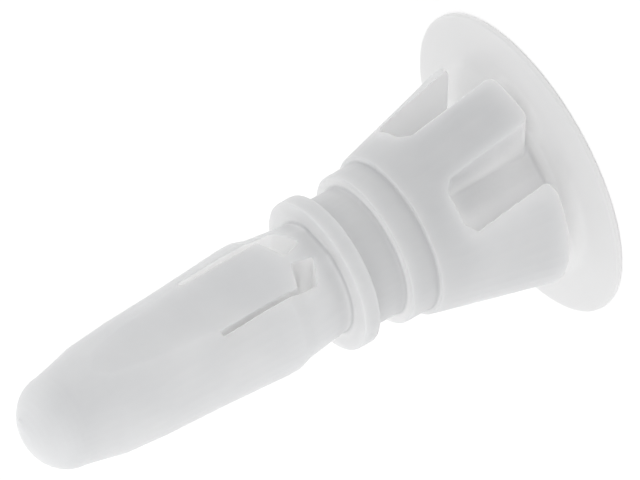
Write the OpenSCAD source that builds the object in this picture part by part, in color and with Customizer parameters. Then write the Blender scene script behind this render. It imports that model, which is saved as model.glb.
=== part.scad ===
// Snap-in standoff for a circuit board, moulded in one piece of natural nylon.
// It is pushed nose first through a panel from below. The flange stays under
// the panel and two barbs spring out above it. The board sits on the collar
// and is held by the nose.
// The origin is on the underside of the flange, and +Z points to the nose.
// The barbs are on the sides of +Y and -Y. The nose's two flats and the
// stem's two ribs are on the sides of +X and -X.

/* [Flange] */
// Diameter of the flange
flange_d = 10.2; // [8.5:0.1:12.4]
// Thickness of the flange at its rim
flange_rim_t = 0.2; // [0.15:0.05:0.3]
// Thickness of the flange where it meets the stem
flange_hub_t = 0.4; // [0.35:0.05:0.5]

/* [Stem and barbs] */
// Diameter of the stem, between the barbs and in the groove above them
core_d = 4.34; // [3.6:0.02:4.5]
// Width of the gap between the stem and the free end of a barb
barb_gap = 0.5; // [0.3:0.05:0.6]
// Height of the barbs' free ends above the flange's underside
barb_end_z = 0.95; // [0.8:0.05:1.6]
// Length of a barb along the stem
barb_len = 4.1; // [3.4:0.05:5.4]
// Diameter across the barbs at their free ends
barb_tip_d = 7.44; // [6.8:0.02:8.4]
// Diameter across the barbs at their roots
barb_root_d = 5.42; // [5.2:0.02:5.8]
// Radius of the corners at a barb's free end
barb_corner_r = 0.45; // [0.2:0.05:0.6]
// Width of the ribs that stand on the stem between the barbs
rib_w = 2; // [1.4:0.1:2.6]

/* [Hub and collar] */
// Diameter of the hub and of the collar
collar_d = 5.06; // [4.7:0.02:5.2]
// Height of the hub above the barbs' roots
hub_h = 0.96; // [0.6:0.02:2]
// Height of the groove between the hub and the collar
groove_h = 1.22; // [0.4:0.02:3]
// Thickness of the collar that the board rests on
collar_t = 0.58; // [0.4:0.02:1.2]

/* [Nose] */
// Thickness of the board that the nose holds
board_t = 1.6; // [1:0.1:2.4]
// Diameter of the neck where it leaves the collar
neck_d = 3.7; // [3.2:0.02:3.9]
// Diameter over the locking edges, a little more than the hole in the board
lock_d = 4.38; // [4.2:0.02:4.6]
// Width across the two flats of the nose
flats_w = 3.54; // [3.2:0.02:4]
// Length of the nose from the collar to the tip
nose_len = 10.85; // [8.6:0.05:13]
// Width of the two slots that free the lips of the nose
lip_slot_w = 0.16; // [0.12:0.01:0.3]
// Distance between the two slots, centre to centre
lip_slot_pitch = 2.24; // [1.8:0.02:2.6]
// Width of the web that is left between the windows at the slots' feet
web_w = 0.36; // [0.3:0.02:0.6]

/* [Hidden] */
$fn = 96;
eps = 0.02;
reach = flange_d;

// heights of the stages, from the underside of the flange
barb_root_z = barb_end_z + barb_len;
hub_top_z = barb_root_z + hub_h;
collar_z = hub_top_z + groove_h;
board_z = collar_z + collar_t;

// foot between the flange and the stem
foot_w = 0.5;
foot_h = 0.2;

// the ribs reach lower than the barbs, on the same cone
rib_drop = 0.3;
rib_corner_r = 0.25;
rib_end_z = barb_end_z - rib_drop;
cone_slope = (barb_tip_d - barb_root_d) / 2 / barb_len;
rib_tip_r = barb_tip_d / 2 + cone_slope * rib_drop;

// the gap behind a barb narrows towards the root and ends below it
barb_in = core_d / 2 + barb_gap;
gap_taper = 0.2;
gap_top_in = barb_in - gap_taper;
root_len = 1.15;
gap_top_z = barb_root_z - root_len;
gap_corner = 0.3;
end_cut_y = core_d / 2;
barb_half_w = sqrt(pow(barb_tip_d / 2, 2) - pow(barb_in, 2));

// the lock bulges from the neck just above the board
lock_step = 0.13;
lock_rise = 0.4;
lock_end = board_t + 2 * lock_rise;

// the bullet shape above the lock narrows in stages, and keeps its
// proportions when the nose's length changes
bullet_len = nose_len - lock_end;
taper_z = lock_end + 0.28 * bullet_len;
taper_r = 0.93 * lock_d / 2;
belly_z = lock_end + 0.52 * bullet_len;
belly_r = taper_r - 0.09;
shoulder_z = lock_end + 0.686 * bullet_len;
shoulder_r = 0.835 * lock_d / 2;
point_z = lock_end + 0.805 * bullet_len;
point_r = 1.6;

// the tip is half an ellipse with a small flat on its end
end_r = 1.53;
end_len = 1.3;
end_a = 80;
end_step = 10;

// each slot opens at its foot into a window that dips towards the web in
// the middle, so that the lip beside it can bend
window_out = (lip_slot_pitch + lip_slot_w) / 2;
window_top_z = board_t;
window_h = 0.68;
window_dip = 0.45;
web_foot_w = 2 * web_w;
lip_slot_z = window_top_z - window_h / 2;
lip_slot_end = lock_end + 0.24 * bullet_len;

// small round mark beside the tip, where the mould was filled
mark_d = 0.45;
mark_r = 0.44;
mark_h = 0.4;
mark_turn = 60;

module flange() {
    rotate_extrude()
        polygon([
            [0, 0],
            [flange_d / 2, 0],
            [flange_d / 2, flange_rim_t],
            [core_d / 2 + foot_w, flange_hub_t],
            [core_d / 2 - eps, flange_hub_t + foot_h],
            [0, flange_hub_t + foot_h]
        ]);
}

// what is taken from a corner to round it, for a corner at the origin
// that points down and to +Y, with the round running along X
module corner_cut(r) {
    translate([0, -r, r])
        difference() {
            translate([-reach / 2, 0, -r - eps])
                cube([reach, r + reach / 4, r + eps]);
            rotate([0, 90, 0])
                cylinder(r = r, h = 2 * reach, center = true);
        }
}

module barb_gap_cut() {
    translate([-reach / 2, 0, 0])
        rotate([90, 0, 90])
            linear_extrude(height = reach)
                polygon([
                    [rib_w / 2, 0],
                    [barb_in, 0],
                    [gap_top_in, gap_top_z - gap_corner],
                    [gap_top_in - gap_corner, gap_top_z],
                    [rib_w / 2 + gap_corner, gap_top_z],
                    [rib_w / 2, gap_top_z - gap_corner]
                ]);
}

// shortens a barb and rounds its two lower corners
module barb_end_cut() {
    translate([-reach / 2, end_cut_y, 0])
        cube([reach, reach / 2, barb_end_z]);
    intersection() {
        translate([-reach / 2, end_cut_y, 0])
            cube([reach, reach / 2, barb_root_z]);
        union() {
            translate([barb_half_w, 0, barb_end_z])
                rotate([0, 0, -90])
                    corner_cut(barb_corner_r);
            translate([-barb_half_w, 0, barb_end_z])
                rotate([0, 0, 90])
                    corner_cut(barb_corner_r);
        }
    }
}

module barbs() {
    difference() {
        rotate_extrude()
            polygon([
                [0, rib_end_z],
                [rib_tip_r, rib_end_z],
                [barb_root_d / 2, barb_root_z],
                [0, barb_root_z]
            ]);
        for (half = [0, 180])
            rotate([0, 0, half]) {
                barb_gap_cut();
                barb_end_cut();
                translate([0, rib_w / 2, rib_end_z])
                    corner_cut(rib_corner_r);
            }
    }
}

module stem() {
    translate([0, 0, flange_hub_t])
        cylinder(d = core_d, h = board_z - flange_hub_t - eps);
    translate([0, 0, barb_root_z - eps])
        cylinder(d = collar_d, h = hub_h + eps);
    translate([0, 0, collar_z])
        cylinder(d = collar_d, h = collar_t);
}

// the bullet, as if it had neither flats nor slots
module bullet() {
    rotate_extrude()
        polygon([
            [0, -eps],
            [neck_d / 2, -eps],
            [lock_d / 2 - lock_step, board_t],
            [lock_d / 2, board_t + lock_rise],
            [lock_d / 2, lock_end],
            [taper_r, taper_z],
            [belly_r, belly_z],
            [shoulder_r, shoulder_z],
            [point_r, point_z],
            for (a = [0 : end_step : end_a])
                [end_r * cos(a), nose_len - end_len + end_len * sin(a) / sin(end_a)],
            [0, nose_len]
        ]);
}

// a slot and the window at its foot, cut from one flat to the other
module lip_slot_cut() {
    translate([-reach / 2, 0, 0])
        rotate([90, 0, 90])
            linear_extrude(height = reach) {
                polygon([
                    [window_out - lip_slot_w, lip_slot_z],
                    [window_out, lip_slot_z],
                    [window_out, lip_slot_end],
                    [window_out - lip_slot_w, lip_slot_end]
                ]);
                polygon([
                    [window_out, window_top_z],
                    [web_w / 2, window_top_z - window_dip],
                    [web_foot_w / 2, window_top_z - window_dip - window_h],
                    [window_out, window_top_z - window_h]
                ]);
            }
}

module nose() {
    translate([0, 0, board_z])
        difference() {
            intersection() {
                bullet();
                translate([-flats_w / 2, -reach / 2, -eps])
                    cube([flats_w, reach, nose_len + 2 * eps]);
            }
            for (half = [0, 180])
                rotate([0, 0, half])
                    lip_slot_cut();
        }
    rotate([0, 0, mark_turn])
        translate([mark_r, 0, board_z + nose_len - mark_h])
            cylinder(d = mark_d, h = mark_h, $fn = 24);
}

module standoff() {
    color("gainsboro") {
        flange();
        barbs();
        stem();
        nose();
    }
}

standoff();
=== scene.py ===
"""Snap-in circuit board standoff of milky natural nylon, standing on its flange on a white table."""

import bpy
from mathutils import Matrix, Vector


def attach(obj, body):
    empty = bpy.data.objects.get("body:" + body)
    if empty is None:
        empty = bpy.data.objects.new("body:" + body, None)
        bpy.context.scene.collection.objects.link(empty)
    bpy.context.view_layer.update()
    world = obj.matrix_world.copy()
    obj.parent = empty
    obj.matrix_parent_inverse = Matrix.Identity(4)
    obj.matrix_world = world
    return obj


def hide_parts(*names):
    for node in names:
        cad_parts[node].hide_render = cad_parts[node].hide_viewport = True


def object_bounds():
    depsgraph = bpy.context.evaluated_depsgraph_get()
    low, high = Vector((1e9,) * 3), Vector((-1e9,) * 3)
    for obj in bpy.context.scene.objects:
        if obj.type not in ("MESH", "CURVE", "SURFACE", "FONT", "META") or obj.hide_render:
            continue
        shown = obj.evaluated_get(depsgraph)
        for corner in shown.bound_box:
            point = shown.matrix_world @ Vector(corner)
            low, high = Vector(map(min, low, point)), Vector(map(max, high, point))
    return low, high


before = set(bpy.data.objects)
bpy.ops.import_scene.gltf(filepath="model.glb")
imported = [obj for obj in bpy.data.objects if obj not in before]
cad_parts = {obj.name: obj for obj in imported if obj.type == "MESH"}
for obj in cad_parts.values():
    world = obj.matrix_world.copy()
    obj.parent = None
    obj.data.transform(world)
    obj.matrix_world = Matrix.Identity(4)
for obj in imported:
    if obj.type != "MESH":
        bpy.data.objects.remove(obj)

MM = 0.001
cad_low, cad_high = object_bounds()

# The body is shaped a thousand times larger, so these are in millimetres: the grain of its skin, and
# how near two points are merged. Then how much and how often its edges are smoothed, and its triangles.
GRAIN = 0.026
MERGE_DISTANCE = 0.001
EDGE_SMOOTHING = 0.5
EDGE_PASSES = 24
MOST_TRIANGLES = 190000

# Heights between which the flange, painted paler and with little light spread in it, turns into the stem.
FLANGE_TOP = 0.42 * MM
STEM_FOOT = 0.62 * MM

# The nylon's own colour in its darker and paler clouds, and the flange's colour, painted paler as painted
# light that stands in for light passing through the thin flange.
BODY_MILK_DARK = (0.655, 0.66, 0.668)
BODY_MILK_PALE = (0.70, 0.703, 0.708)
FLANGE_PAINTED_PALE = (0.84, 0.84, 0.842)

# Clouds in the nylon: how many there are to a metre, how fine they are, and where dark and pale begin.
CLOUD_SCALE = 420
CLOUD_DETAIL = 3
CLOUD_DARK = 0.3
CLOUD_PALE = 0.7

# How far a recess is looked for, with how many rays, how little open sky makes it deep, and the painted
# light's colour there.
RECESS_REACH = 3 * MM
RECESS_RAYS = 8
RECESS_DEEP = 0.4
RECESS_OPEN = 0.7
RECESS_PAINTED_LIGHT = (0.99, 0.99, 0.99)

# The painted light in the recesses is greyer on the stem's face behind the barbs, as painted shade there.
# That face ends between these two distances from the axis, and fades between these two heights.
STEM_FACE = 2.2 * MM
STEM_FACE_EDGE = 2.4 * MM
GAP_MIDDLE = 2.2 * MM
GAP_END = 4.0 * MM
STEM_FACE_PAINTED_LIGHT = (0.90, 0.90, 0.903)

# The nose is painted a little whiter than the barbs' cone, as painted light that stands in for light
# passing through the thinner nose, from one of these heights to the other.
NOSE_PAINTED_WHITENING = 1.12
NOSE_FROM = 7.6 * MM
NOSE_TO = 9.2 * MM

# How far light spreads in the nylon, in the open and in a deep recess, and how little of it does
# in the flange and behind the barbs.
BODY_REACH = 0.9 * MM
RECESS_LIGHT_REACH = 16 * MM
THIN_DEPTH = 0.15

# The satin skin: how it bends light, its roughness in dark and pale clouds, and its fine grain.
NYLON_IOR = 1.53
ROUGHNESS_DARK = 0.38
ROUGHNESS_PALE = 0.5
SKIN_GRAIN_SCALE = 9000
SKIN_GRAIN_DETAIL = 2
SKIN_GRAIN_STRENGTH = 0.25
SKIN_GRAIN_DEPTH = 0.004 * MM

# The table's size in metres, how far it lies under the flange, its colour, and how bright it looks
# of itself.
TABLE_SIZE = 4
TABLE_DROP = 0.01 * MM
TABLE_WHITE = (0.85, 0.85, 0.85)
TABLE_GLOW = 0.25

# Level of the room's light behind the part and in front of it, and the way to the front,
# which looks down a little, so that the ceiling is brighter than the floor.
ROOM_BEHIND = 1.10
ROOM_IN_FRONT = 0.72
FRONT = (0.82, -0.50, -0.27)

# The one lamp's place and size in metres, and its power in watts.
LAMP_PLACE = (-0.05, -0.16, 0.16)
LAMP_SIZE = 0.14
LAMP_POWER = 0.04

# Pale nylon passes light on many times inside its gaps and slots.
LIGHT_BOUNCES = 12

# The picture's right and up in the part's own axes, its size, its scale, and where a point of the
# part's axis at this height falls in it.
VIEW_RIGHT = (0.0246, -0.5891, -0.8076)
VIEW_UP = (0.6130, 0.6472, -0.4532)
PICTURE_WIDTH = 640
PICTURE_HEIGHT = 480
PIXELS_PER_M = 32.88 / MM
AXIS_POINT = 9.3 * MM
AXIS_POINT_X = 277.3
AXIS_POINT_Y = 299.3

# The camera's sensor and lens in millimetres, and the nearest and farthest that it sees, in metres.
# The lens is long, as the photograph shows nearly no perspective.
SENSOR = 36
LENS = 1000
NEAREST = 0.01
FARTHEST = 10


def only(obj):
    """Makes obj the one selected and active object."""
    bpy.ops.object.select_all(action="DESELECT")
    obj.select_set(True)
    bpy.context.view_layer.objects.active = obj


def scaled(obj, factor):
    """Scales an object's mesh about the origin and leaves the object itself untransformed."""
    only(obj)
    obj.scale = (factor, factor, factor)
    bpy.ops.object.transform_apply(location=False, rotation=False, scale=True)


def applied(obj, kind, **settings):
    """Adds a modifier with these settings to obj and applies it."""
    only(obj)
    modifier = obj.modifiers.new(kind.lower(), kind)
    for name, value in settings.items():
        setattr(modifier, name, value)
    bpy.ops.object.modifier_apply(modifier=modifier.name)


def moulded_body():
    """The whole standoff as one skin whose edges are softly rounded, as a mould leaves them."""
    cad_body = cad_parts["standoff"]
    body = cad_body.copy()
    body.data = cad_body.data.copy()
    body.name = "moulded_standoff"
    body.data.name = "moulded_standoff"
    for key in list(body.keys()):
        del body[key]
    bpy.context.scene.collection.objects.link(body)
    body.parent = None
    body.matrix_world = Matrix.Identity(4)
    # Blender's smallest voxel is a tenth of a millimetre, so the body is made larger while it is shaped.
    scaled(body, 1 / MM)
    bpy.ops.object.mode_set(mode="EDIT")
    bpy.ops.mesh.select_all(action="SELECT")
    bpy.ops.mesh.remove_doubles(threshold=MERGE_DISTANCE)
    bpy.ops.object.mode_set(mode="OBJECT")
    applied(body, "REMESH", mode="VOXEL", voxel_size=GRAIN, adaptivity=0.0)
    applied(body, "SMOOTH", factor=EDGE_SMOOTHING, iterations=EDGE_PASSES)
    triangles = 2 * len(body.data.polygons)
    if triangles > MOST_TRIANGLES:
        applied(body, "DECIMATE", decimate_type="COLLAPSE", ratio=MOST_TRIANGLES / triangles)
    scaled(body, MM)
    bpy.ops.object.shade_smooth()
    return body


def node(tree, kind, **values):
    """Adds a shader node and sets its properties and its sockets by name."""
    made = tree.nodes.new(kind)
    for name, value in values.items():
        if hasattr(made, name):
            setattr(made, name, value)
        else:
            made.inputs[name].default_value = value
    return made


def ramp(tree, source, low, high, to_low=0.0, to_high=1.0, shape="SMOOTHSTEP"):
    """A ramp from to_low at low to to_high at high, driven by a socket."""
    made = node(tree, "ShaderNodeMapRange", interpolation_type=shape)
    made.inputs["From Min"].default_value = low
    made.inputs["From Max"].default_value = high
    made.inputs["To Min"].default_value = to_low
    made.inputs["To Max"].default_value = to_high
    tree.links.new(source, made.inputs["Value"])
    return made.outputs["Result"]


def joined(tree, operation, first, second):
    """The result of a maths node on two sockets."""
    made = node(tree, "ShaderNodeMath", operation=operation)
    tree.links.new(first, made.inputs[0])
    tree.links.new(second, made.inputs[1])
    return made.outputs[0]


def mixed(tree, share, first, second):
    """A colour that goes from first to second as a socket rises; each is a colour or a socket."""
    made = node(tree, "ShaderNodeMix", data_type="RGBA")
    tree.links.new(share, made.inputs["Factor"])
    for name, colour in (("A", first), ("B", second)):
        if isinstance(colour, tuple):
            made.inputs[name].default_value = (*colour, 1)
        else:
            tree.links.new(colour, made.inputs[name])
    return made.outputs["Result"]


def clouded_milk_with_painted_nose(tree, cloud, height):
    """The nylon's colour in its darker and paler clouds, painted a little whiter in the nose as painted
    light.
    """
    milk = node(tree, "ShaderNodeValToRGB")
    dark, pale = milk.color_ramp.elements
    dark.position = CLOUD_DARK
    dark.color = (*BODY_MILK_DARK, 1)
    pale.position = CLOUD_PALE
    pale.color = (*BODY_MILK_PALE, 1)
    tree.links.new(cloud, milk.inputs["Fac"])
    painted_whiter_nose = node(tree, "ShaderNodeVectorMath", operation="SCALE")
    tree.links.new(milk.outputs["Color"], painted_whiter_nose.inputs[0])
    whiter = ramp(tree, height, NOSE_FROM, NOSE_TO, 1.0, NOSE_PAINTED_WHITENING)
    tree.links.new(whiter, painted_whiter_nose.inputs["Scale"])
    return painted_whiter_nose.outputs["Vector"]


def stem_face(tree, place, height):
    """1 on the stem's face behind the barbs, and 0 on the gap's walls and above the gap."""
    across = node(tree, "ShaderNodeVectorMath", operation="MULTIPLY")
    tree.links.new(place, across.inputs[0])
    across.inputs[1].default_value = (1, 1, 0)
    from_axis = node(tree, "ShaderNodeVectorMath", operation="LENGTH")
    tree.links.new(across.outputs["Vector"], from_axis.inputs[0])
    on_stem = ramp(tree, from_axis.outputs["Value"], STEM_FACE, STEM_FACE_EDGE, 1.0, 0.0)
    in_gap = ramp(tree, height, GAP_MIDDLE, GAP_END, 1.0, 0.0)
    return joined(tree, "MULTIPLY", on_stem, in_gap)


def nylon():
    """Milky natural nylon: satin and cloudy enough for light to spread in it, and painted whiter in the
    flange, the nose and the recesses as painted light.
    """
    material = bpy.data.materials.new("natural_nylon")
    material.use_nodes = True
    tree = material.node_tree
    links = tree.links
    shader = tree.nodes["Principled BSDF"]
    shader.inputs["IOR"].default_value = NYLON_IOR
    shader.inputs["Subsurface Radius"].default_value = (1.0, 1.0, 1.0)
    place = node(tree, "ShaderNodeTexCoord").outputs["Object"]
    axes = node(tree, "ShaderNodeSeparateXYZ")
    links.new(place, axes.inputs[0])
    height = axes.outputs["Z"]
    cloud = node(tree, "ShaderNodeTexNoise", Scale=CLOUD_SCALE, Detail=CLOUD_DETAIL)
    links.new(place, cloud.inputs["Vector"])

    # The flange is the thin part, painted paler as painted light that stands in for light passing through
    # it;
    # all else is thick enough for light to spread in it.
    thick = ramp(tree, height, FLANGE_TOP, STEM_FOOT)
    tint = mixed(tree, thick, FLANGE_PAINTED_PALE, clouded_milk_with_painted_nose(tree, cloud.outputs["Fac"], height))

    # Painted light: the nylon is painted nearly white in the gaps, the groove and the slots, where light
    # gathers.
    open_sky = node(tree, "ShaderNodeAmbientOcclusion", samples=RECESS_RAYS, Distance=RECESS_REACH)
    recess = ramp(tree, open_sky.outputs["AO"], RECESS_DEEP, RECESS_OPEN, 1.0, 0.0)
    # On the stem's face behind the barbs the painted light is greyer, as painted shade.
    painted_recess_light = mixed(tree, stem_face(tree, place, height), RECESS_PAINTED_LIGHT, STEM_FACE_PAINTED_LIGHT)
    links.new(mixed(tree, recess, tint, painted_recess_light), shader.inputs["Base Color"])

    # Light spreads inside the body and the nose, and hardly in the flange and behind the barbs.
    below_nose = ramp(tree, height, NOSE_FROM, NOSE_TO, 1.0, 0.0)
    open_part = ramp(tree, joined(tree, "MULTIPLY", recess, below_nose), 0.0, 1.0, 1.0, 0.0)
    depth = ramp(tree, joined(tree, "MULTIPLY", thick, open_part), 0.0, 1.0, THIN_DEPTH, 1.0)
    links.new(depth, shader.inputs["Subsurface Weight"])
    thick_recess = joined(tree, "MULTIPLY", recess, thick)
    reach = ramp(tree, thick_recess, 0.0, 1.0, BODY_REACH, RECESS_LIGHT_REACH)
    links.new(reach, shader.inputs["Subsurface Scale"])

    satin = ramp(tree, cloud.outputs["Fac"], CLOUD_DARK, CLOUD_PALE, ROUGHNESS_DARK, ROUGHNESS_PALE)
    links.new(satin, shader.inputs["Roughness"])

    grain = node(tree, "ShaderNodeTexNoise", Scale=SKIN_GRAIN_SCALE, Detail=SKIN_GRAIN_DETAIL)
    links.new(place, grain.inputs["Vector"])
    skin = node(tree, "ShaderNodeBump", Strength=SKIN_GRAIN_STRENGTH, Distance=SKIN_GRAIN_DEPTH)
    links.new(grain.outputs["Fac"], skin.inputs["Height"])
    links.new(skin.outputs["Normal"], shader.inputs["Normal"])
    return material


def table_white():
    """Matte white that glows a little for the camera and in reflections, so that it looks white."""
    material = bpy.data.materials.new("table_white")
    material.use_nodes = True
    tree = material.node_tree
    tree.nodes.remove(tree.nodes["Principled BSDF"])
    matte = node(tree, "ShaderNodeBsdfDiffuse", Color=(*TABLE_WHITE, 1))
    ray = node(tree, "ShaderNodeLightPath")
    mirrored = joined(tree, "MAXIMUM", ray.outputs["Is Camera Ray"], ray.outputs["Is Glossy Ray"])
    seen = joined(tree, "MAXIMUM", mirrored, ray.outputs["Is Transmission Ray"])
    level = node(tree, "ShaderNodeMath", operation="MULTIPLY")
    tree.links.new(seen, level.inputs[0])
    level.inputs[1].default_value = TABLE_GLOW
    glow = node(tree, "ShaderNodeEmission")
    tree.links.new(level.outputs[0], glow.inputs["Strength"])
    both = node(tree, "ShaderNodeAddShader")
    tree.links.new(matte.outputs[0], both.inputs[0])
    tree.links.new(glow.outputs[0], both.inputs[1])
    tree.links.new(both.outputs[0], tree.nodes["Material Output"].inputs["Surface"])
    return material


def white_table():
    """A pale table that the camera sees as white, apart from the part's shadow."""
    bpy.ops.object.select_all(action="DESELECT")
    bpy.ops.mesh.primitive_plane_add(size=TABLE_SIZE, location=(0, 0, -TABLE_DROP))
    table = bpy.context.object
    table.name = "table"
    table.data.materials.append(table_white())


def room():
    """A white room, brighter behind the part than in front, that the camera sees as plain white."""
    world = bpy.data.worlds.new("room")
    world.use_nodes = True
    tree = world.node_tree
    backdrop = tree.nodes["Background"]
    backdrop.inputs["Color"].default_value = (1, 1, 1, 1)
    way = node(tree, "ShaderNodeTexCoord").outputs["Generated"]
    ahead = node(tree, "ShaderNodeVectorMath", operation="DOT_PRODUCT")
    tree.links.new(way, ahead.inputs[0])
    ahead.inputs[1].default_value = FRONT
    level = ramp(tree, ahead.outputs["Value"], -1, 1, ROOM_BEHIND, ROOM_IN_FRONT, "LINEAR")
    ray = node(tree, "ShaderNodeLightPath")
    seen = joined(tree, "MAXIMUM", level, ray.outputs["Is Camera Ray"])
    tree.links.new(seen, backdrop.inputs["Strength"])
    bpy.context.scene.world = world


def lamp(name, place, size, power):
    """A soft square lamp that points at the middle of the part."""
    data = bpy.data.lights.new(name, "AREA")
    data.shape = "SQUARE"
    data.size = size
    data.energy = power
    lamp_object = bpy.data.objects.new(name, data)
    lamp_object.location = place
    aim = (cad_low + cad_high) / 2 - Vector(place)
    lamp_object.rotation_euler = aim.to_track_quat("-Z", "Y").to_euler()
    bpy.context.scene.collection.objects.link(lamp_object)


def camera():
    """The photograph's view: from the nose's side, rolled so that the nose points to the lower left."""
    right = Vector(VIEW_RIGHT)
    up = Vector(VIEW_UP)
    back = right.cross(up).normalized()
    up = back.cross(right.normalized())
    aim = Vector((0, 0, AXIS_POINT))
    aim -= right.normalized() * (AXIS_POINT_X - PICTURE_WIDTH / 2) / PIXELS_PER_M
    aim -= up * (PICTURE_HEIGHT / 2 - AXIS_POINT_Y) / PIXELS_PER_M
    data = bpy.data.cameras.new("camera")
    data.sensor_width = SENSOR
    data.lens = LENS
    distance = data.lens * (PICTURE_WIDTH / data.sensor_width) / PIXELS_PER_M
    data.clip_start = NEAREST
    data.clip_end = FARTHEST
    view = bpy.data.objects.new("camera", data)
    turn = Matrix((right.normalized(), up, back)).transposed()
    view.matrix_world = Matrix.Translation(aim + back * distance) @ turn.to_4x4()
    bpy.context.scene.collection.objects.link(view)
    bpy.context.scene.camera = view


bpy.context.scene.view_settings.view_transform = "Standard"
bpy.context.scene.cycles.diffuse_bounces = LIGHT_BOUNCES
body = moulded_body()
body.data.materials.clear()
body.data.materials.append(nylon())
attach(body, "root")
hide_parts("standoff")
white_table()
room()
lamp("key", LAMP_PLACE, LAMP_SIZE, LAMP_POWER)
camera()
